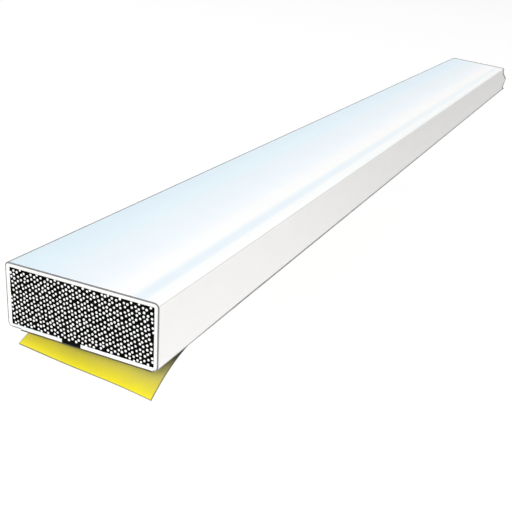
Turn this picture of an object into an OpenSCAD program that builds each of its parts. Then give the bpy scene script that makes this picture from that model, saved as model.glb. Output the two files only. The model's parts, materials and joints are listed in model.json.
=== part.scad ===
// Intumescent fire and draught seal strip, cut square at one end and broken off at the other.
// Frame: X runs along the strip from the square cut, Y across it, Z up from the adhesive plane.
// The origin is on the adhesive plane, on the casing's centre line, at the square cut.

/* [Casing] */
// Outside width of the casing
casing_w = 10; // [8:0.5:38]
// Outside height of the casing
casing_h = 4; // [3:0.25:6]
// Thickness of the two side walls and of the front wall
wall_t = 0.3; // [0.2:0.05:0.6]
// Thickness of the back wall, which carries the slot and the tape
back_t = 0.22; // [0.2:0.02:0.8]
// Outer corner radius
corner_r = 0.3; // [0.05:0.05:0.6]
// Width of the slot along the back wall
slot_w = 1.24; // [0.6:0.02:3]
// Distance of the slot's centre from the casing's centre line
slot_shift = 0.6; // [-1.5:0.1:1.5]

/* [Fits] */
// Gap between the core and each wall around it
core_gap = 0; // [0:0.01:0.1]
// Gap between the bridge and each edge of the slot
bridge_gap = 0; // [0:0.01:0.1]

/* [Length] */
// Length on the centre line, from the square cut to the break's edge in the front wall
strip_len = 111; // [40:1:250]
// Angle of the break away from square
break_skew = 31; // [0:1:40]
// Reach of the break just below the front wall, past its edge in that wall
break_notch = -0.2; // [-3:0.1:3]
// Reach of the break half way down the strip
break_tip = 3.3; // [0:0.1:6]
// Reach of the break just above the back wall
break_dip = 1.5; // [0:0.1:6]
// Reach of the break at the back wall
break_heel = 3.9; // [0:0.1:6]

/* [Tape] */
// Thickness of the double-sided tape
tape_t = 0.08; // [0.05:0.01:0.5]
// Distance from the casing's right side to the tape's edge
tape_inset_right = 0.4; // [0:0.05:2]
// Distance from the casing's left side to the tape's edge
tape_inset_left = 0.9; // [0:0.05:2]

/* [Release liner] */
// Thickness of the liner
liner_t = 0.1; // [0.05:0.01:0.2]
// How far the liner runs past the square cut when it lies flat
liner_overhang = 0.3; // [0:0.1:2]
// Distance of the peel line from the square cut, at the liner's right edge
peel_right = 5; // [3:0.1:8]
// Distance of the peel line from the square cut, at the liner's left edge
peel_left = 3; // [2:0.1:8]
// Radius to which the peeled tab curls down
curl_r = 6.9; // [6:0.1:20]

/* [Hidden] */
$fn = 64;

// Heights of the layers above the adhesive plane
casing_bottom = tape_t;
casing_top = casing_bottom + casing_h;
inside_bottom = casing_bottom + back_t;
inside_top = casing_top - wall_t;

// Edges of the tape and of the liner, which are slit together
edge_right = -casing_w / 2 + tape_inset_right;
edge_left = casing_w / 2 - tape_inset_left;

// The break's zigzag down the strip: depth below the front, as a share of the height, and reach
break_line = [[0, 0], [0.19, break_notch], [0.54, break_tip], [0.86, break_dip], [1, break_heel]];

// Length of the uncut extrusions, past every point of the break
break_reach = max([for (bend = break_line) bend[1]]);
stock_len = strip_len + casing_w / 2 * tan(break_skew) + break_reach / cos(break_skew) + 1;
overcut = 1;

// The peel line, from the liner's right edge to its left edge, and the way from it to the free end
peel_start = [peel_right, edge_right];
peel_end = [peel_left, edge_left];
peel_dir = (peel_end - peel_start) / norm(peel_end - peel_start);
peel_normal = [-peel_dir.y, peel_dir.x];
tab_rows = 20;
tab_columns = 8;

// Extrudes a profile drawn in Y and Z along the strip.
module along_strip(length) {
  rotate([90, 0, 90])
    linear_extrude(length)
      children();
}

// A rectangle that stands on the Y axis, with true round corners.
module rounded_section(width, height, radius) {
  translate([-width / 2 + radius, 0])
    square([width - 2 * radius, height]);
  translate([-width / 2, radius])
    square([width, height - 2 * radius]);
  for (y = [-width / 2 + radius, width / 2 - radius], z = [radius, height - radius])
    translate([y, z])
      circle(radius);
}

// Everything beyond the break.
module beyond_break() {
  low = -liner_t - overcut;
  high = casing_top + overcut;
  far = stock_len;
  edge = [for (bend = break_line) [bend[1], casing_top - bend[0] * casing_h]];
  translate([strip_len, 0, 0])
    rotate([90, 0, -break_skew])
      linear_extrude(3 * casing_w, center = true)
        polygon(concat([[far, low], [far, high], [0, high]], edge, [[break_heel, low]]));
}

// Cuts its children off at the break.
module broken_off() {
  difference() {
    children();
    beyond_break();
  }
}

// Rigid extruded casing: four walls, with a slot along the back wall.
module casing() {
  color("white")
    broken_off()
      along_strip(stock_len)
        difference() {
          translate([0, casing_bottom])
            rounded_section(casing_w, casing_h, corner_r);
          translate([-casing_w / 2 + wall_t, inside_bottom])
            square([casing_w - 2 * wall_t, inside_top - inside_bottom]);
          translate([slot_shift - slot_w / 2, casing_bottom - overcut])
            square([slot_w, back_t + 2 * overcut]);
        }
}

// Flexible strip that closes the slot and lets the casing open when the core swells.
module slot_bridge() {
  width = slot_w - 2 * bridge_gap;
  color("black")
    broken_off()
      along_strip(stock_len)
        translate([slot_shift - width / 2, casing_bottom])
          square([width, back_t]);
}

// Intumescent core, which fills the casing.
module intumescent_core() {
  width = casing_w - 2 * wall_t - 2 * core_gap;
  height = inside_top - inside_bottom - core_gap;
  color("dimgray")
    broken_off()
      along_strip(stock_len)
        translate([-width / 2, inside_bottom])
          square([width, height]);
}

// Double-sided tape on the casing's back.
module adhesive_tape() {
  color("gainsboro")
    broken_off()
      along_strip(stock_len)
        translate([edge_right, 0])
          square([edge_left - edge_right, tape_t]);
}

// The length of the liner that still lies on the tape.
module release_liner() {
  color("gold")
    broken_off()
      translate([0, 0, -liner_t])
        linear_extrude(liner_t)
          polygon([peel_start, [stock_len, edge_right], [stock_len, edge_left], peel_end]);
}

// A point of the flat tab, carried down onto the curl. Depth 0 is the tab's upper face.
function curled(flat, depth) =
  let (
    away = (flat - peel_start) * peel_normal,
    along = (flat - peel_start) * peel_dir,
    turn = away / curl_r * 180 / PI,
    foot = peel_start + along * peel_dir + (curl_r - depth) * sin(turn) * peel_normal
  )
  [foot.x, foot.y, (curl_r - depth) * cos(turn) - curl_r];

// The flat tab between the peel line (row 0) and its free end (row 1), right to left (column 0 to 1).
function flat_tab(row, column) =
  let (
    at_peel = peel_start + (peel_end - peel_start) * column,
    at_end = [-liner_overhang, at_peel.y]
  )
  at_peel + (at_end - at_peel) * row;

// The peeled end of the liner: one sheet that curls down about an axis along the peel line.
module liner_tab() {
  grid = [for (r = [0:tab_rows], c = [0:tab_columns]) flat_tab(r / tab_rows, c / tab_columns)];
  faces_apart = len(grid);
  points = concat([for (p = grid) curled(p, 0)], [for (p = grid) curled(p, liner_t)]);
  width = tab_columns + 1;
  // The grid's rim, walked right to left along the peel line and back along the free end
  rim = concat(
    [for (c = [0:tab_columns]) c],
    [for (r = [1:tab_rows]) r * width + tab_columns],
    [for (c = [1:tab_columns]) tab_rows * width + tab_columns - c],
    [for (r = [1:tab_rows - 1]) (tab_rows - r) * width]
  );
  cells = [for (r = [0:tab_rows - 1], c = [0:tab_columns - 1]) r * width + c];
  color("yellow")
    polyhedron(
      points,
      concat(
        [for (i = cells) each [[i, i + 1, i + width], [i + 1, i + width + 1, i + width]]],
        [for (i = cells, low = faces_apart) each [
          [low + i, low + i + width, low + i + 1],
          [low + i + 1, low + i + width, low + i + width + 1]
        ]],
        [for (k = [0:len(rim) - 1]) let (a = rim[k], b = rim[(k + 1) % len(rim)], low = faces_apart) each [
          [a, low + a, b],
          [b, low + a, low + b]
        ]]
      )
    );
}

casing();
slot_bridge();
intumescent_core();
adhesive_tape();
release_liner();
liner_tab();
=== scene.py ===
import json
import math
import random

import bmesh
import bpy
import numpy as np
from mathutils import Matrix, Vector, noise
from mathutils.bvhtree import BVHTree


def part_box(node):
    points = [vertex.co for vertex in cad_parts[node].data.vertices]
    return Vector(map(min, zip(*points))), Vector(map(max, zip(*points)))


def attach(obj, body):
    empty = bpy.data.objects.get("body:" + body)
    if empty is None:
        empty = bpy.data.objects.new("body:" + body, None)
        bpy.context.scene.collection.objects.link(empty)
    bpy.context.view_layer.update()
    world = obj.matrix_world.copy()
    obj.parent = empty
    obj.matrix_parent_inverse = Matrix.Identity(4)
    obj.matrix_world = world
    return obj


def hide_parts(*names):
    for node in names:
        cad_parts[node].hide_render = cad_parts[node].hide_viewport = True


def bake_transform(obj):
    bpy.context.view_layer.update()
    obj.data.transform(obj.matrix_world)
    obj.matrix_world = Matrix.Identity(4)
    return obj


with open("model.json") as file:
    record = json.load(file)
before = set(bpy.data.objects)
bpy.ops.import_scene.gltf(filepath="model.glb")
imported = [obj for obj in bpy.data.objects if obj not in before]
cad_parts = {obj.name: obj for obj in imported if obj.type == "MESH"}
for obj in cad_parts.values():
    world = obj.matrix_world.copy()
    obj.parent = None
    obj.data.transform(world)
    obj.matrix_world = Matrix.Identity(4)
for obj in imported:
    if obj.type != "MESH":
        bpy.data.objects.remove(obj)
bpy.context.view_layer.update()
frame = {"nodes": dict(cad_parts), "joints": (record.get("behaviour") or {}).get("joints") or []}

MM = 0.001

# Places and sizes that the frame gives
CASING_LOW, CASING_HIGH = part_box("casing")
CORE_LOW, CORE_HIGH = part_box("intumescent_core")
BRIDGE_LOW, BRIDGE_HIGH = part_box("slot_bridge")
TAPE_LOW, TAPE_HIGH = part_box("adhesive_tape")
LINER_LOW, LINER_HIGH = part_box("release_liner")
BEND = next(j for j in frame["joints"] if j["name"] == "tab_bend")

# Sizes that the frame doesn't give
CORNER_R = 0.3 * MM
INNER_CORNER_R = 0.05 * MM
CUT_BEVEL = 0.035 * MM
BURR = 0.05 * MM  # width of the dusty line round the sawn face
BRUISE = 0.8 * MM  # how far the break marks the plastic
SEAM = 0.003 * MM  # between faces that touch in the frame
SHADE_LINE_SPREAD = 0.0008  # how fast the painted shade lines along the corners widen, as a share of the length
SHADE_LINE_THIN = 0.1 * MM  # how much narrower they are on the back's corners at the sawn end
SHADE_LINE_THIN_LENGTH = 9 * MM  # where they reach their full width
CURL_R = 6.9 * MM
LINER_OVERHANG = 0.3 * MM
GRANULE_R = 0.077 * MM
GRANULE_STAND = 0.03 * MM
GRANULE_PITCH = 0.268 * MM
GRANULE_TURN = math.radians(23)
GRANULE_SHAKE = 0.04 * MM
GRANULE_KEEP = 0.02 * MM  # least distance of a granule's middle from the core's sides

RNG = random.Random(7)

# The camera's place from the foot of the sawn end, its direction and roll in degrees, and its lens in mm
CAMERA_PLACE = Vector((-30.5, -23.7, 21.3)) * MM
CAMERA_AZIMUTH, CAMERA_ELEVATION = -66, 22
CAMERA_ROLL = 4
CAMERA_LENS = 55.05


# ---------------------------------------------------------------- meshes


def rim(rows, columns):
    """The places round a grid's edge, in order."""
    return (
        [(0, c) for c in range(columns)]
        + [(r, columns - 1) for r in range(1, rows)]
        + [(rows - 1, c) for c in range(columns - 2, -1, -1)]
        + [(r, 0) for r in range(rows - 2, 0, -1)]
    )


def solid(name, layers):
    """A closed mesh from the first grid of points to the last. The grids between shape only its sides."""
    rows, columns = layers[0].shape[:2]
    edge = rim(rows, columns)
    points, rings = [], []
    for number, layer in enumerate(layers):
        start = len(points)
        if number in (0, len(layers) - 1):
            points.extend(layer.reshape(-1, 3))
            rings.append([start + r * columns + c for r, c in edge])
        else:
            points.extend(layer[r, c] for r, c in edge)
            rings.append([start + k for k in range(len(edge))])
    faces = []
    for start in (0, len(points) - rows * columns):
        for r in range(rows - 1):
            for c in range(columns - 1):
                corner = start + r * columns + c
                faces.append((corner, corner + 1, corner + columns + 1, corner + columns))
    for near, far in zip(rings, rings[1:]):
        for k in range(len(edge)):
            after = (k + 1) % len(edge)
            faces.append((near[k], near[after], far[after], far[k]))
    return mesh_object(name, points, faces)


def mesh_object(name, points, faces):
    """A smooth-shaded object with outward faces. Edges over 40 degrees stay sharp."""
    mesh = bpy.data.meshes.new(name)
    mesh.from_pydata([tuple(p) for p in points], [], faces)
    work = bmesh.new()
    work.from_mesh(mesh)
    bmesh.ops.recalc_face_normals(work, faces=work.faces)
    work.to_mesh(mesh)
    work.free()
    mesh.shade_smooth()
    mesh.set_sharp_from_angle(angle=math.radians(40))
    made = bpy.data.objects.new(name, mesh)
    bpy.context.scene.collection.objects.link(made)
    return made


def paint(piece, index, test):
    """Gives a material's index to each face that passes a test on its centre and its normal."""
    for face in piece.data.polygons:
        if test(face.center, face.normal):
            face.material_index = index


def rough(y, z, size, depth, seed=0.0):
    """A crumbly unevenness of an end face at (y, z): size is its grain and depth its height."""
    place = Vector((y / size, z / size, seed))
    return depth * (noise.noise(place) + 0.5 * noise.noise(2.3 * place))


class BrokenEnd:
    """Where the strip is broken off, read from the frame by rays along its length."""

    def __init__(self):
        self.trees = []
        for name in ("casing", "slot_bridge", "intumescent_core"):
            mesh = frame["nodes"][name].data
            self.trees.append(
                BVHTree.FromPolygons([v.co for v in mesh.vertices], [p.vertices for p in mesh.polygons])
            )
        self.place = CORE_LOW.y / 2
        margin = 0.01 * MM
        self.heights = np.linspace(CASING_LOW.z + margin, CASING_HIGH.z - margin, 80)
        self.reach = [self.ray(self.place, z) for z in self.heights]
        middle = (CORE_LOW.z + CORE_HIGH.z) / 2
        self.slant = (self.ray(-self.place, middle) - self.ray(self.place, middle)) / (-2 * self.place)

    def ray(self, y, z):
        start = Vector((2 * CASING_HIGH.x, y, z))
        hits = [tree.ray_cast(start, Vector((-1, 0, 0)))[0] for tree in self.trees]
        return max(hit.x for hit in hits if hit)

    def x(self, y, z):
        return float(np.interp(z, self.heights, self.reach)) + (y - self.place) * self.slant


BREAK = BrokenEnd()


def grid(ys, zs, x_of):
    """A grid of points over an end face."""
    return np.array([[(x_of(y, z), y, z) for z in zs] for y in ys])


def steps(low, high, size):
    """Evenly spaced values from low to high, about size apart."""
    return np.linspace(low, high, max(2, round((high - low) / size) + 1))


# ---------------------------------------------------------------- the casing


def wall_stations():
    """Outer and inner points in pairs round the casing's wall, from the slot's left edge to its right."""
    wall = CORE_LOW.y - CASING_LOW.y
    outer_y, outer_z = CASING_HIGH.y - CORNER_R, (CASING_LOW.z + CORNER_R, CASING_HIGH.z - CORNER_R)
    inner_y = CASING_HIGH.y - wall - INNER_CORNER_R
    inner_z = (CORE_LOW.z + INNER_CORNER_R, CORE_HIGH.z - INNER_CORNER_R)
    pairs = [((BRIDGE_HIGH.y, CASING_LOW.z), (BRIDGE_HIGH.y, CORE_LOW.z))]
    corner_steps = 8
    for number, (side, top) in enumerate(((1, 0), (1, 1), (-1, 1), (-1, 0))):
        for k in range(corner_steps + 1):
            turn = math.radians(90 * (number - 1) + 90 * k / corner_steps)
            way = np.array((math.cos(turn), math.sin(turn)))
            outer = np.array((side * outer_y, outer_z[top])) + CORNER_R * way
            inner = np.array((side * inner_y, inner_z[top])) + INNER_CORNER_R * way
            pairs.append((tuple(outer), tuple(inner)))
    pairs.append(((BRIDGE_LOW.y, CASING_LOW.z), (BRIDGE_LOW.y, CORE_LOW.z)))
    stations = [pairs[0]]
    for (outer_a, inner_a), (outer_b, inner_b) in zip(pairs, pairs[1:]):
        count = max(1, round(math.dist(outer_a, outer_b) / (0.2 * MM)))
        for k in range(1, count + 1):
            share = k / count
            stations.append((lerp(outer_a, outer_b, share), lerp(inner_a, inner_b, share)))
    return stations


def lerp(a, b, share):
    return tuple((1 - share) * p + share * q for p, q in zip(a, b))


def wall_layer(stations, x_of, inset=0.0):
    """One grid across the wall's section: a row for each station, and columns from its outside in."""
    last = len(stations) - 1
    rows = []
    for number, (outer, inner) in enumerate(stations):
        thickness = math.dist(outer, inner)
        shift = inset if number == 0 else -inset if number == last else 0.0
        row = []
        for depth in (inset, inset + BURR, *np.linspace(inset + 2 * BURR, thickness - inset, 3)):
            y, z = lerp(outer, inner, depth / thickness)
            y += shift
            row.append((x_of(y, z), y, z))
        rows.append(row)
    return np.array(rows)


def build_casing():
    """The extruded casing: sawn square at one end, torn at the other."""
    stations = wall_stations()

    def torn(y, z):
        return BREAK.x(y, z) + rough(y, z, 0.25 * MM, 0.07 * MM) + rough(y, z, 0.9 * MM, 0.09 * MM, 4)

    def ring_at(x):
        return wall_layer(stations, lambda y, z: x)

    def ring_before_break(distance):
        return wall_layer(stations, lambda y, z: BREAK.x(y, z) - distance)

    layers = [wall_layer(stations, lambda y, z: 0.0, CUT_BEVEL), ring_at(CUT_BEVEL)]
    layers += [ring_at(x * MM) for x in (0.25, 0.8, 2, 4, 7, 12, 20, 30, 45, 60, 75, 90)]
    layers += [ring_before_break(d * MM) for d in (9, 5, 2.5, 1)]
    layers += [ring_before_break(BRUISE), wall_layer(stations, torn)]
    casing = solid("casing_shell", layers)
    casing.data.materials.append(casing_plastic())
    casing.data.materials.append(sawn_edge())
    casing.data.materials.append(torn_plastic())
    casing.data.materials.append(bruised_and_shaded_plastic())
    burr = CUT_BEVEL + BURR

    def outside(centre):
        along = math.hypot(
            max(0, abs(centre.y) - (CASING_HIGH.y - CORNER_R)),
            max(0, centre.z - (CASING_HIGH.z - CORNER_R), CASING_LOW.z + CORNER_R - centre.z),
        )
        taped = TAPE_LOW.y < centre.y < TAPE_HIGH.y and centre.z < CORE_LOW.z
        return along > CORNER_R - burr and not taped

    paint(casing, 1, lambda c, n: c.x < CUT_BEVEL and n.x < -0.1 and outside(c))
    paint(casing, 2, lambda c, n: c.x > BREAK.x(c.y, c.z) - BRUISE and n.x > 0.3)
    paint(casing, 3, lambda c, n: c.x > BREAK.x(c.y, c.z) - 1.01 * BRUISE and n.x <= 0.3)
    return casing


# ---------------------------------------------------------------- the core, the bridge and the tape


def build_core():
    """The block of intumescent compound, with a sawn face and a crumbled one."""
    ys = steps(CORE_LOW.y + SEAM, CORE_HIGH.y - SEAM, 0.15 * MM)
    zs = steps(CORE_LOW.z + SEAM, CORE_HIGH.z - SEAM, 0.15 * MM)
    layers = [
        grid(ys, zs, core_sawn),
        grid(ys, zs, lambda y, z: 0.1 * MM),
        grid(ys, zs, lambda y, z: BREAK.x(y, z) - 1 * MM),
        grid(ys, zs, core_torn),
    ]
    core = solid("core_block", layers)
    core.data.materials.append(core_compound())
    return core


def core_sawn(y, z):
    return 0.03 * MM + rough(y, z, 0.22 * MM, 0.012 * MM)


def core_torn(y, z):
    return BREAK.x(y, z) - 0.12 * MM + rough(y, z, 0.3 * MM, 0.16 * MM, 9)


def granule_places():
    """Places of the granules over the core's section: a grid of triangles, turned a little and shaken up."""
    middle = Vector(((CORE_LOW.y + CORE_HIGH.y) / 2, (CORE_LOW.z + CORE_HIGH.z) / 2))
    turn = Matrix.Rotation(GRANULE_TURN, 2)
    reach = 2 * math.ceil((CORE_HIGH.y - CORE_LOW.y) / GRANULE_PITCH)
    places = []
    for i in range(-reach, reach + 1):
        for j in range(-reach, reach + 1):
            y, z = middle + turn @ Vector((i + j / 2, j * math.sqrt(3) / 2)) * GRANULE_PITCH
            y += RNG.uniform(-GRANULE_SHAKE, GRANULE_SHAKE)
            z += RNG.uniform(-GRANULE_SHAKE, GRANULE_SHAKE)
            inside_y = CORE_LOW.y + GRANULE_KEEP < y < CORE_HIGH.y - GRANULE_KEEP
            inside_z = CORE_LOW.z + GRANULE_KEEP < z < CORE_HIGH.z - GRANULE_KEEP
            if inside_y and inside_z:
                places.append((y, z))
    return places


def torn_granule_places():
    """Places of the granules over the slanting broken face, drawn at random and kept if clear of the rest."""
    draws, apart = 16000, 0.8 * GRANULE_PITCH
    kept = []
    for _ in range(draws):
        y = RNG.uniform(CORE_LOW.y + GRANULE_KEEP, CORE_HIGH.y - GRANULE_KEEP)
        z = RNG.uniform(CORE_LOW.z + GRANULE_KEEP, CORE_HIGH.z - GRANULE_KEEP)
        place = Vector((BREAK.x(y, z), y, z))
        if all((place - other).length > apart for other in kept):
            kept.append(place)
    return [(place.y, place.z) for place in kept]


def build_granules():
    """The white granules that show in the core's two end faces, each a flattened bead set into it."""
    around, rings = 10, 5
    points, faces = [], []
    beads = [(core_sawn(y, z), y, z, -1) for y, z in granule_places()]
    beads += [(core_torn(y, z), y, z, 1) for y, z in torn_granule_places()]

    def cut_off(value, low, high):
        return min(max(value, low + SEAM), high - SEAM)

    for x, y, z, out in beads:
        radius = GRANULE_R * RNG.uniform(0.9, 1.08)
        start = len(points)
        points.append((x + out * GRANULE_STAND, y, z))
        for ring in range(1, rings):
            turn = math.pi * ring / rings
            reach = radius * math.sin(turn) ** 0.7
            for k in range(around):
                spoke = 2 * math.pi * (k + ring / 2) / around
                points.append(
                    (
                        x + out * GRANULE_STAND * math.cos(turn),
                        cut_off(y + reach * math.cos(spoke), CORE_LOW.y, CORE_HIGH.y),
                        cut_off(z + reach * math.sin(spoke), CORE_LOW.z, CORE_HIGH.z),
                    )
                )
        points.append((x - out * GRANULE_STAND, y, z))
        end = len(points) - 1
        for k in range(around):
            after = (k + 1) % around
            faces.append((start, start + 1 + k, start + 1 + after))
            faces.append((end, end - around + after, end - around + k))
            for ring in range(rings - 2):
                a = start + 1 + ring * around
                faces.append((a + k, a + around + k, a + around + after, a + after))
    granules = mesh_object("core_granules", points, faces)
    granules.data.materials.append(granule())
    return granules


def build_bridge():
    """The flexible strip in the slot."""
    ys = steps(BRIDGE_LOW.y + SEAM, BRIDGE_HIGH.y - SEAM, 0.08 * MM)
    zs = steps(BRIDGE_LOW.z + 2 * SEAM, BRIDGE_HIGH.z - SEAM, 0.08 * MM)

    def cut(y, z):
        return 0.015 * MM + rough(y, z, 0.3 * MM, 0.006 * MM)

    def stretched(y, z):
        return BREAK.x(y, z) + 0.12 * MM + rough(y, z, 0.2 * MM, 0.12 * MM, 2)

    layers = [
        grid(ys, zs, cut),
        grid(ys, zs, lambda y, z: 0.06 * MM),
        grid(ys, zs, lambda y, z: BREAK.x(y, z) - 0.5 * MM),
        grid(ys, zs, stretched),
    ]
    bridge = solid("slot_strip", layers)
    bridge.data.materials.append(bridge_rubber())
    return bridge


def build_tape():
    """The double-sided tape, with slit edges that wander a little."""
    ys = steps(TAPE_LOW.y, TAPE_HIGH.y, 0.2 * MM)
    zs = np.array((TAPE_LOW.z, (TAPE_LOW.z + TAPE_HIGH.z) / 2, TAPE_HIGH.z - SEAM))

    def slab(x_of):
        layer = grid(ys, zs, x_of)
        for side in (0, -1):
            layer[side, 1, 1] += (1 if side else -1) * 0.015 * MM
            wander = [0.02 * MM * noise.noise(Vector((x / (3 * MM), side, 0))) for x in layer[side, :, 0]]
            layer[side, :, 1] += wander
        return layer

    layers = [slab(lambda y, z: 0.02 * MM + rough(y, z, 0.5 * MM, 0.02 * MM))]
    layers += [slab(lambda y, z, x=x: x * MM) for x in (0.3, 1, 2, 3, 4.5, 6, 8, *range(11, 100, 3))]
    layers += [slab(lambda y, z, d=d: BREAK.x(y, CASING_LOW.z) - d * MM) for d in (4, 2, 0.6)]
    layers.append(slab(lambda y, z: BREAK.x(y, CASING_LOW.z) - 0.2 * MM + rough(y, z, 0.5 * MM, 0.1 * MM, 5)))
    tape = solid("tape_film", layers)
    tape.data.materials.append(tape_film())
    tape.data.materials.append(dusty_shaded_tape_edge())
    paint(tape, 1, lambda c, n: abs(n.z) < 0.5)
    return tape


# ---------------------------------------------------------------- the liner


def peel_line():
    """The peel line: a point on it, the way along it to the left edge, and the way to the tab's free end."""
    axis = Vector(BEND["axis"])
    along = -axis.normalized()
    return Vector((BEND["pos_m"][0], BEND["pos_m"][1], 0)), along, Vector((-along.y, along.x, 0))


def curled(flat, depth):
    """A point of the flat liner, depth below its upper face, put onto the curl if past the peel line."""
    point, along, away = peel_line()
    reach = (flat - point).dot(away)
    if reach <= 0:
        return Vector((flat.x, flat.y, -depth))
    turn = reach / CURL_R
    foot = point + along * (flat - point).dot(along)
    ripple = 0.05 * MM * (reach / (5 * MM)) ** 2 * math.sin((flat.y - LINER_LOW.y) / (1.3 * MM))
    out = foot + away * (CURL_R - depth) * math.sin(turn)
    return Vector((out.x, out.y, (CURL_R - depth) * math.cos(turn) - CURL_R + ripple))


def lay_flat(piece, places):
    """A UV map in metres, which says where each vertex lies on the flat sheet."""
    layer = piece.data.uv_layers.new(name="flat")
    for loop in piece.data.loops:
        layer.uv[loop.index].vector = places[loop.vertex_index]


def build_liner():
    """The release liner, one sheet from its curled end to the break."""
    point, along, away = peel_line()
    thickness = LINER_HIGH.z - LINER_LOW.z
    columns = steps(LINER_LOW.y, LINER_HIGH.y, 0.35 * MM)
    tab_rows, bend_rows, flat_rows = 26, 12, 40
    rows = tab_rows + bend_rows + flat_rows + 1

    def flat_x(row, y):
        fold = point.x + (y - point.y) * along.x / along.y
        if row <= tab_rows:
            return -LINER_OVERHANG + (fold + LINER_OVERHANG) * row / tab_rows
        near = fold + 1.5 * MM
        if row <= tab_rows + bend_rows:
            return fold + (near - fold) * (row - tab_rows) / bend_rows
        far = BREAK.x(y, CASING_LOW.z) - 0.15 * MM + rough(y, 0, 0.6 * MM, 0.08 * MM, 3)
        return near + (far - near) * (row - tab_rows - bend_rows) / flat_rows

    def face(depth):
        return np.array(
            [
                [tuple(curled(Vector((flat_x(row, y), y, 0)), depth + SEAM)) for y in columns]
                for row in range(rows)
            ]
        )

    liner = solid("liner_sheet", [face(0.0), face(thickness - SEAM)])
    lay_flat(liner, 2 * [(flat_x(row, y) + LINER_OVERHANG, y) for row in range(rows) for y in columns])
    liner.data.materials.append(liner_paper("liner_paper", with_painted_shade=True))
    liner.data.materials.append(liner_paper("liner_back", with_painted_shade=False))
    paint(liner, 1, lambda c, n: n.z < -0.3)
    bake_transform(liner)
    return liner


# ---------------------------------------------------------------- materials


class Look:
    """A material and its node tree."""

    def __init__(self, name):
        self.material = bpy.data.materials.new(name)
        self.material.use_nodes = True
        self.tree = self.material.node_tree
        self.shader = self.tree.nodes["Principled BSDF"]
        self.place = self.add("ShaderNodeTexCoord").outputs["Object"]

    def add(self, kind, **settings):
        node = self.tree.nodes.new(kind)
        for name, value in settings.items():
            setattr(node, name, value)
        return node

    def link(self, source, target):
        self.tree.links.new(source, target)

    def shade(self, socket, source):
        """Links a value or a colour to one of the shader's own sockets."""
        self.link(source, self.shader.inputs[socket])

    def put(self, **values):
        """Sets the shader's own sockets: underscores stand for spaces."""
        for name, value in values.items():
            self.shader.inputs[name.replace("_", " ")].default_value = value

    def noise(self, scale, detail=4.0, stretch=(1, 1, 1), roughness=0.55, place=None):
        """A noise from 0 to 1. scale is in grains per metre."""
        mapping = self.add("ShaderNodeMapping")
        mapping.inputs["Scale"].default_value = stretch
        self.link(place or self.place, mapping.inputs["Vector"])
        made = self.add("ShaderNodeTexNoise")
        made.inputs["Scale"].default_value = scale
        made.inputs["Detail"].default_value = detail
        made.inputs["Roughness"].default_value = roughness
        self.link(mapping.outputs["Vector"], made.inputs["Vector"])
        return made.outputs["Fac"]

    def ramp(self, source, stops):
        """Colours or greys along a value: stops are pairs of a place and a colour or a grey."""
        made = self.add("ShaderNodeValToRGB")
        ramp = made.color_ramp
        while len(ramp.elements) < len(stops):
            ramp.elements.new(1.0)
        for element, (place, colour) in zip(ramp.elements, stops):
            element.position = place
            element.color = (*colour, 1) if isinstance(colour, tuple) else (colour, colour, colour, 1)
        self.link(source, made.inputs["Fac"])
        return made.outputs["Color"]

    def mix(self, share, a, b, blend="MIX"):
        """Mixes two colours, each a socket or a fixed colour."""
        made = self.add("ShaderNodeMix", data_type="RGBA", blend_type=blend)
        for value, socket in ((share, made.inputs[0]), (a, made.inputs[6]), (b, made.inputs[7])):
            if isinstance(value, bpy.types.NodeSocket):
                self.link(value, socket)
            else:
                socket.default_value = (*value, 1) if isinstance(value, tuple) else value
        return made.outputs[2]

    def range(self, source, low, high, out_low=0.0, out_high=1.0):
        """A value carried from one range to another, and held at its ends."""
        made = self.add("ShaderNodeMapRange")
        for number, value in enumerate((low, high, out_low, out_high), 1):
            made.inputs[number].default_value = value
        self.link(source, made.inputs[0])
        return made.outputs[0]

    def axis(self, name, place=None):
        """The place along X, Y or Z, in metres."""
        parts = self.add("ShaderNodeSeparateXYZ")
        self.link(place or self.place, parts.inputs[0])
        return parts.outputs[name]

    def times(self, a, b):
        """The product of two values, each a socket or a number."""
        return self.math("MULTIPLY", a, b)

    def math(self, operation, *values):
        """One operation on values, each a socket or a number."""
        made = self.add("ShaderNodeMath", operation=operation)
        for value, socket in zip(values, made.inputs):
            if isinstance(value, bpy.types.NodeSocket):
                self.link(value, socket)
            else:
                socket.default_value = value
        return made.outputs[0]

    def facing(self, name):
        """The surface normal's X, Y or Z."""
        parts = self.add("ShaderNodeSeparateXYZ")
        self.link(self.add("ShaderNodeNewGeometry").outputs["Normal"], parts.inputs[0])
        return parts.outputs[name]

    def bump(self, source, height, strength):
        """A bump of that height in metres."""
        made = self.add("ShaderNodeBump")
        made.inputs["Distance"].default_value = height
        made.inputs["Strength"].default_value = strength
        self.link(source, made.inputs["Height"])
        self.link(made.outputs["Normal"], self.shader.inputs["Normal"])


def srgb(*levels):
    """A linear colour from levels of 0 to 255."""
    return tuple(
        (v / 255 / 12.92) if v / 255 <= 0.04045 else ((v / 255 + 0.055) / 1.055) ** 2.4 for v in levels
    )


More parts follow.
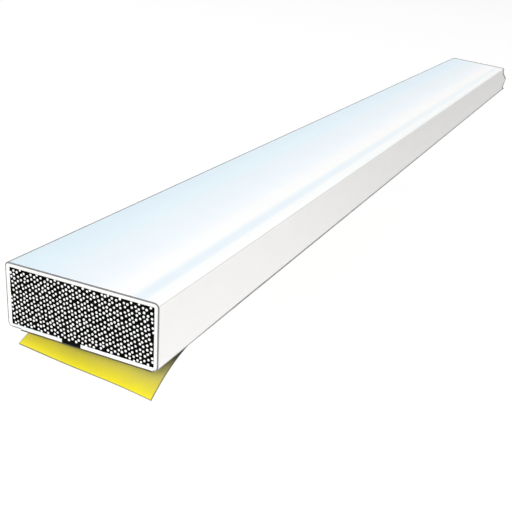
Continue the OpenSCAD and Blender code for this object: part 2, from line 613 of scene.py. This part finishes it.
def casing_plastic():
    """Rigid white plastic with fine die lines along it. A cool painted reflection fades across the front
    wall.
    """
    look = Look("casing_plastic")
    across = look.range(look.axis("Y"), CASING_LOW.y, CASING_HIGH.y)
    # Painted reflection: the top face turns a cool blue toward its left edge.
    front = look.ramp(
        across,
        (
            (0.0, srgb(249, 252, 252)),
            (0.20, srgb(253, 253, 252)),
            (0.28, srgb(251, 252, 253)),
            (0.40, srgb(240, 247, 252)),
            (0.60, srgb(233, 243, 249)),
            (0.80, srgb(223, 240, 249)),
            (1.0, srgb(218, 235, 245)),
        ),
    )
    # A painted reflection band: a pale blue streak near the right edge of the top, fading along the length.
    painted_reflection_band = look.ramp(across, ((0.07, 0.0), (0.10, 0.9), (0.14, 1.0), (0.19, 0.0)))
    fading = look.range(look.axis("X"), 0.1 * CASING_HIGH.x, 0.6 * CASING_HIGH.x, 1.0, 0.5)
    front = look.mix(look.times(painted_reflection_band, fading), front, srgb(231, 242, 249))
    flat_up = look.range(look.facing("Z"), 0.5, 0.65)
    height = look.range(look.axis("Z"), 0, CASING_HIGH.z)
    # The sides are painted a little darker toward the top: painted shade.
    side = look.ramp(height, ((0.0, srgb(252, 251, 249)), (1.0, srgb(247, 246, 244))))
    base = look.mix(flat_up, side, front)
    # Painted shade lines along the long corners, darkest on the bottom corners, which face down.
    low = look.range(look.axis("Z"), CORNER_R, 0)
    line_shade = look.mix(low, srgb(102, 103, 104), srgb(58, 58, 59))
    base = look.mix(corner_shade_lines(look), base, line_shade)
    mottle = look.ramp(look.noise(400, 3), ((0.35, 0.985), (0.65, 1.0)))
    look.shade("Base Color", look.mix(1.0, base, mottle, "MULTIPLY"))
    lines = look.noise(1, 5, (60, 5200, 5200))
    look.shade("Roughness", look.ramp(lines, ((0.3, 0.3), (0.7, 0.42))))
    look.bump(lines, 0.004 * MM, 0.5)
    look.put(Specular_IOR_Level=0.35)
    return look.material


def corner_shade_lines(look):
    """From 0 to 1 across a painted shade line along each long corner. It widens along the strip, and on the
    back's corners it is thinner next to the sawn end. The front right corner has only a faint hair line."""
    y, z, up = look.axis("Y"), look.axis("Z"), look.facing("Z")
    margin = 0.02 * MM
    flat_y = CASING_HIGH.y - CORNER_R
    middle_z = (CASING_LOW.z + CASING_HIGH.z) / 2
    flat_z = CASING_HIGH.z - middle_z - CORNER_R
    spread = look.times(look.axis("X"), SHADE_LINE_SPREAD)
    from_middle = look.math("ADD", look.math("ABSOLUTE", look.math("SUBTRACT", z, middle_z)), spread)
    thinner = look.range(look.axis("X"), 0, SHADE_LINE_THIN_LENGTH, -SHADE_LINE_THIN, 0.0)
    at_back = look.range(z, middle_z, middle_z - margin)
    from_middle = look.math("ADD", from_middle, look.times(at_back, thinner))
    from_centre_line = look.math("ADD", look.math("ABSOLUTE", y), spread)
    near_side = look.range(from_centre_line, flat_y - margin, flat_y - margin / 2)
    near_face = look.range(from_middle, flat_z - margin, flat_z - margin / 2)
    front_right = look.times(look.range(y, 0, -margin), look.range(z, middle_z, middle_z + margin))
    hair_line = look.times(look.range(up, 0.2, 0.3), look.range(up, 0.6, 0.5, 0.0, 0.25))
    outside = look.range(look.axis("X"), 0, 0.01 * MM)
    patchy = look.range(look.noise(900, 3), 0.3, 0.6, 0.85, 1.0)
    elsewhere = look.range(front_right, 0, 1, 1.0, 0.0)
    strength = look.math("ADD", elsewhere, look.times(front_right, hair_line))
    corner = look.times(near_side, near_face)
    return look.times(look.times(corner, look.times(strength, patchy)), outside)


def sawn_edge():
    """The burr round the sawn end, grey with dust."""
    look = Look("sawn_edge")
    dust = look.noise(5000, 3)
    look.shade("Base Color", look.ramp(dust, ((0.3, srgb(112, 113, 115)), (0.7, srgb(140, 141, 143)))))
    look.put(Roughness=0.8, Specular_IOR_Level=0.1)
    return look.material


def torn_plastic():
    """The torn end, whitened and fibrous."""
    look = Look("torn_plastic")
    fibre = look.noise(9000, 6, (0.3, 1, 1))
    look.shade("Base Color", look.ramp(fibre, ((0.3, srgb(226, 228, 230)), (0.7, srgb(252, 252, 252)))))
    look.bump(fibre, 0.03 * MM, 0.8)
    look.put(Roughness=0.85, Specular_IOR_Level=0.2)
    return look.material


def bruised_and_shaded_plastic():
    """The casing's faces along the break, marked by the strain. Painted shade makes the sides darker than the
    top.
    """
    look = Look("bruised_and_shaded_plastic")
    marks = look.noise(6000, 4, (0.25, 1, 1))
    # Painted shade: the sides of the band are darker than its top.
    sides = look.ramp(marks, ((0.3, srgb(100, 101, 102)), (0.7, srgb(122, 123, 124))))
    front = look.ramp(marks, ((0.3, srgb(156, 158, 160)), (0.7, srgb(172, 174, 176))))
    flat_up = look.range(look.facing("Z"), 0.5, 0.9)
    look.shade("Base Color", look.mix(flat_up, sides, front))
    look.bump(marks, 0.01 * MM, 0.6)
    look.put(Roughness=0.7, Specular_IOR_Level=0.2)
    return look.material


def core_compound():
    """Black compound with a fine graphite grain."""
    look = Look("core_compound")
    grain = look.noise(14000, 5)
    look.shade("Base Color", look.ramp(grain, ((0.35, 0.001), (0.75, 0.005))))
    look.bump(grain, 0.01 * MM, 0.7)
    look.put(Roughness=0.9, Specular_IOR_Level=0.02)
    return look.material


def granule():
    """White mineral granules."""
    look = Look("granule")
    tone = look.noise(3500, 2)
    look.shade("Base Color", look.ramp(tone, ((0.3, srgb(244, 244, 242)), (0.7, srgb(255, 255, 254)))))
    look.bump(look.noise(30000, 3), 0.004 * MM, 0.5)
    look.put(Roughness=0.7, Specular_IOR_Level=0.2)
    return look.material


def bridge_rubber():
    """Soft black plastic, cut with a blade."""
    look = Look("bridge_rubber")
    wipe = look.noise(2500, 4, (1, 0.25, 3))
    look.shade("Base Color", look.ramp(wipe, ((0.3, 0.002), (0.7, 0.006))))
    look.shade("Roughness", look.ramp(wipe, ((0.3, 0.5), (0.7, 0.7))))
    look.bump(wipe, 0.006 * MM, 0.6)
    look.put(Specular_IOR_Level=0.03)
    return look.material


def tape_film():
    """Hazy adhesive tape, darker where the black bridge shows through it, with small trapped bubbles."""
    look = Look("tape_film")
    y = look.axis("Y")
    soft = 0.08 * MM
    over = look.range(y, BRIDGE_LOW.y - soft, BRIDGE_LOW.y + soft)
    past = look.range(y, BRIDGE_HIGH.y - soft, BRIDGE_HIGH.y + soft, 1.0, 0.0)
    band = look.times(over, past)
    haze = look.ramp(look.noise(1500, 5), ((0.3, srgb(224, 224, 214)), (0.7, srgb(238, 238, 230))))
    base = look.mix(band, haze, srgb(120, 120, 117))
    bubbles = look.add("ShaderNodeTexVoronoi", distance="EUCLIDEAN")
    bubbles.inputs["Scale"].default_value = 1300
    look.link(look.place, bubbles.inputs["Vector"])
    bubble = look.ramp(bubbles.outputs["Distance"], ((0.06, 1.0), (0.16, 0.0)))
    look.shade("Base Color", look.mix(look.range(bubble, 0, 1, 0, 0.35), base, srgb(250, 250, 246)))
    look.bump(bubble, 0.01 * MM, 0.5)
    look.put(Roughness=0.25, Specular_IOR_Level=0.5)
    return look.material


def dusty_shaded_tape_edge():
    """The tape's cut edges, dark with dust on the adhesive and with painted shade under the casing's edge."""
    look = Look("dusty_shaded_tape_edge")
    dust = look.noise(6000, 4)
    # Dark grey: dust, and painted shade under the casing.
    look.shade("Base Color", look.ramp(dust, ((0.3, srgb(66, 65, 58)), (0.7, srgb(92, 90, 80)))))
    look.bump(dust, 0.01 * MM, 0.7)
    look.put(Roughness=0.85, Specular_IOR_Level=0.15)
    return look.material


def liner_paper(name, with_painted_shade):
    """Yellow release paper with faint fibres and dusty cut edges. On the face that the tape covered, painted
    shade darkens the yellow to olive toward the casing, and a painted shadow lies by the right end of the
    peel line."""
    look = Look(name)
    flat = look.add("ShaderNodeUVMap", uv_map="flat").outputs[0]
    from_end, across = look.axis("X", flat), look.axis("Y", flat)
    fibres = look.noise(1, 6, (2500, 9000, 1), place=flat)
    cloud = look.noise(700, 3, place=flat)
    if with_painted_shade:
        # Painted shade under the casing: the yellow darkens to olive over 2 mm from the tab's free end, and
        # stays olive beyond.
        shade_depth = look.math("ADD", from_end, look.range(cloud, 0.3, 0.7, -0.1 * MM, 0.1 * MM))
        yellow = look.ramp(
            look.range(shade_depth, 0, 2 * MM),
            (
                (0.0, srgb(231, 217, 14)),
                (0.12, srgb(224, 211, 36)),
                (0.37, srgb(210, 198, 66)),
                (0.65, srgb(187, 180, 90)),
                (1.0, srgb(168, 164, 106)),
            ),
        )
    else:
        yellow = look.ramp(cloud, ((0.3, srgb(224, 209, 40)), (0.7, srgb(234, 220, 52))))
    tint = look.ramp(fibres, ((0.3, (0.96, 0.96, 0.96)), (0.7, (1.0, 1.0, 1.0))))
    paper = look.mix(1.0, yellow, tint, "MULTIPLY")
    line = 0.045 * MM
    ends = look.range(from_end, line, 0.6 * line)
    right = look.range(across, LINER_LOW.y + line, LINER_LOW.y + 0.6 * line)
    left = look.range(across, LINER_HIGH.y - line, LINER_HIGH.y - 0.6 * line)
    edge = look.math("MAXIMUM", look.math("MAXIMUM", ends, right), left)
    colour = look.mix(look.times(edge, 0.85), paper, srgb(112, 108, 78))
    if with_painted_shade:
        # Painted shadow: near-black by the right end of the peel line.
        colour = look.mix(painted_peel_shadow(look, from_end, across), colour, srgb(50, 50, 45))
    look.shade("Base Color", colour)
    look.shade("Roughness", look.ramp(fibres, ((0.3, 0.4), (0.7, 0.55))))
    look.bump(fibres, 0.006 * MM, 0.4)
    look.put(Specular_IOR_Level=0.4)
    return look.material


def painted_peel_shadow(look, from_end, across):
    """From 0 to nearly 1 next to the right end of the peel line: a painted shadow where the fold turns under
    the casing's corner.
    """
    point, along, _ = peel_line()
    skew = along.x / along.y
    fold_at_middle = point.x - point.y * skew + LINER_OVERHANG
    unskewed = look.math("SUBTRACT", from_end, look.times(across, skew))
    past_fold = look.math("SUBTRACT", unskewed, fold_at_middle)
    near_fold = look.ramp(
        look.range(past_fold, -4.8 * MM, 0.4 * MM),
        ((0.18, 0.0), (0.32, 0.25), (0.46, 0.78), (0.57, 0.95), (0.75, 0.95), (0.9, 0.0)),
    )
    near_right = look.range(across, LINER_LOW.y + 1.1 * MM, LINER_LOW.y + 0.35 * MM)
    return look.times(near_fold, near_right)


# ---------------------------------------------------------------- the studio


def studio_floor(height):
    """A floor that keeps the strip's shadow: white to the camera and in mirrors, and clear from below."""
    size, glow_level, shade_grey, bounce_grey = 3.0, 0.84, 0.2, 0.35
    corners = ((-size, -size), (size, -size), (size, size), (-size, size))
    mesh = bpy.data.meshes.new("studio_floor")
    mesh.from_pydata([(x, y, height) for x, y in corners], [], [(0, 1, 2, 3)])
    floor = bpy.data.objects.new("studio_floor", mesh)
    bpy.context.scene.collection.objects.link(floor)
    look = Look("studio_floor")
    nodes, link = look.tree.nodes, look.link
    seen = seen_ray(look)
    glow = look.add("ShaderNodeEmission")
    glow.inputs["Strength"].default_value = glow_level
    shade = look.add("ShaderNodeBsdfDiffuse")
    shade.inputs["Color"].default_value = (shade_grey, shade_grey, shade_grey, 1)
    white = look.add("ShaderNodeAddShader")
    link(glow.outputs[0], white.inputs[0])
    link(shade.outputs[0], white.inputs[1])
    bounce = look.add("ShaderNodeBsdfDiffuse")
    bounce.inputs["Color"].default_value = (bounce_grey, bounce_grey, bounce_grey, 1)
    above = look.add("ShaderNodeMixShader")
    link(seen, above.inputs[0])
    link(bounce.outputs[0], above.inputs[1])
    link(white.outputs[0], above.inputs[2])
    through = look.add("ShaderNodeMixShader")
    link(look.add("ShaderNodeNewGeometry").outputs["Backfacing"], through.inputs[0])
    link(above.outputs[0], through.inputs[1])
    link(look.add("ShaderNodeBsdfTransparent").outputs[0], through.inputs[2])
    link(through.outputs[0], nodes["Material Output"].inputs["Surface"])
    nodes.remove(look.shader)
    mesh.materials.append(look.material)
    floor.visible_shadow = False  # lets the lamp below it light the underside


def floor_height():
    """Low enough for the liner at the end of its slide, whichever way its tab points."""
    slide = next(j for j in frame["joints"] if j["name"] == "liner_peel")
    tab_low, tab_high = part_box("liner_tab")
    tab_reach = (tab_high - tab_low).length
    return LINER_LOW.z - slide["range_m"][1] - tab_reach


def seen_ray(look):
    """1 for rays from the camera, from a mirror or through glass."""
    path = look.add("ShaderNodeLightPath")
    total = path.outputs["Is Camera Ray"]
    for name in ("Is Glossy Ray", "Is Transmission Ray"):
        total = look.math("MAXIMUM", total, path.outputs[name])
    return total


class Sky(Look):
    """The world's node tree, with the same helpers as a material's."""

    def __init__(self):
        world = bpy.data.worlds.new("studio")
        bpy.context.scene.world = world
        world.use_nodes = True
        self.tree = world.node_tree


def studio_world():
    """An even white world, which the camera sees at full white."""
    light_level, seen_level = 0.38, 1.0
    sky = Sky()
    background = sky.tree.nodes["Background"]
    background.inputs["Color"].default_value = (1, 1, 1, 1)
    sky.link(sky.range(seen_ray(sky), 0, 1, light_level, seen_level), background.inputs["Strength"])


def lamp(name, place, target, width, height, level):
    """A soft rectangular lamp that lights a white surface facing it at target to about level."""
    data = bpy.data.lights.new(name, "AREA")
    data.shape, data.size, data.size_y = "RECTANGLE", width, height
    place, target = Vector(place), Vector(target)
    data.energy = level * math.pi**2 * (target - place).length_squared
    made = bpy.data.objects.new(name, data)
    made.location = place
    made.rotation_mode = "QUATERNION"
    made.rotation_quaternion = (target - place).to_track_quat("-Z", "Y")
    bpy.context.scene.collection.objects.link(made)


def studio_lamps():
    """A key above the camera, a fill from behind, one below the floor, and a small one by the sawn end."""
    middle = Vector((CASING_HIGH.x / 2, 0, CASING_HIGH.z))
    right_side = Vector((0, CASING_LOW.y, CASING_HIGH.z / 2))
    lamp("key", middle + 1.2 * toward(-68, 28), middle, 0.5, 0.5, 0.8)
    lamp("back", middle + 1.2 * toward(178, 50), middle, 0.6, 0.4, 0.31)
    lamp("under", middle - Vector((0, 0, 1.2)), middle, 0.6, 0.08, 0.5)
    lamp("near_side", right_side + Vector((-0.004, -0.05, 0.006)), right_side, 0.02, 0.02, 0.33)


def toward(azimuth, elevation):
    """The unit vector toward a direction in degrees: azimuth 0 is -Y, and 90 is +X."""
    a, e = math.radians(azimuth), math.radians(elevation)
    return Vector((math.sin(a) * math.cos(e), -math.cos(a) * math.cos(e), math.sin(e)))


def camera():
    """The camera looks at the sawn end from its right and above, rolled a little."""
    roll = math.radians(CAMERA_ROLL)
    back = toward(CAMERA_AZIMUTH, CAMERA_ELEVATION)
    level = Vector((0, 0, 1)).cross(back).normalized()
    rise = back.cross(level)
    right = level * math.cos(roll) + rise * math.sin(roll)
    up = rise * math.cos(roll) - level * math.sin(roll)
    data = bpy.data.cameras.new("camera")
    data.sensor_width = 36
    data.lens = CAMERA_LENS
    data.clip_start, data.clip_end = 0.001, 20
    made = bpy.data.objects.new("camera", data)
    stand = Vector((0, 0, CASING_LOW.z)) + CAMERA_PLACE
    made.matrix_world = Matrix.Translation(stand) @ Matrix((right, up, back)).transposed().to_4x4()
    bpy.context.scene.collection.objects.link(made)
    bpy.context.scene.camera = made


# ---------------------------------------------------------------- the strip

camera()

casing_shell = build_casing()
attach(casing_shell, "strip")
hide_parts("casing")

slot_strip = build_bridge()
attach(slot_strip, "strip")
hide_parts("slot_bridge")

core_block = build_core()
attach(core_block, "strip")
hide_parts("intumescent_core")

core_granules = build_granules()
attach(core_granules, "strip")

tape_film_piece = build_tape()
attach(tape_film_piece, "strip")
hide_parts("adhesive_tape")

liner_sheet = build_liner()
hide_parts("release_liner", "liner_tab")

studio_floor(floor_height())
studio_world()
studio_lamps()
bpy.context.scene.view_settings.view_transform = "Standard"
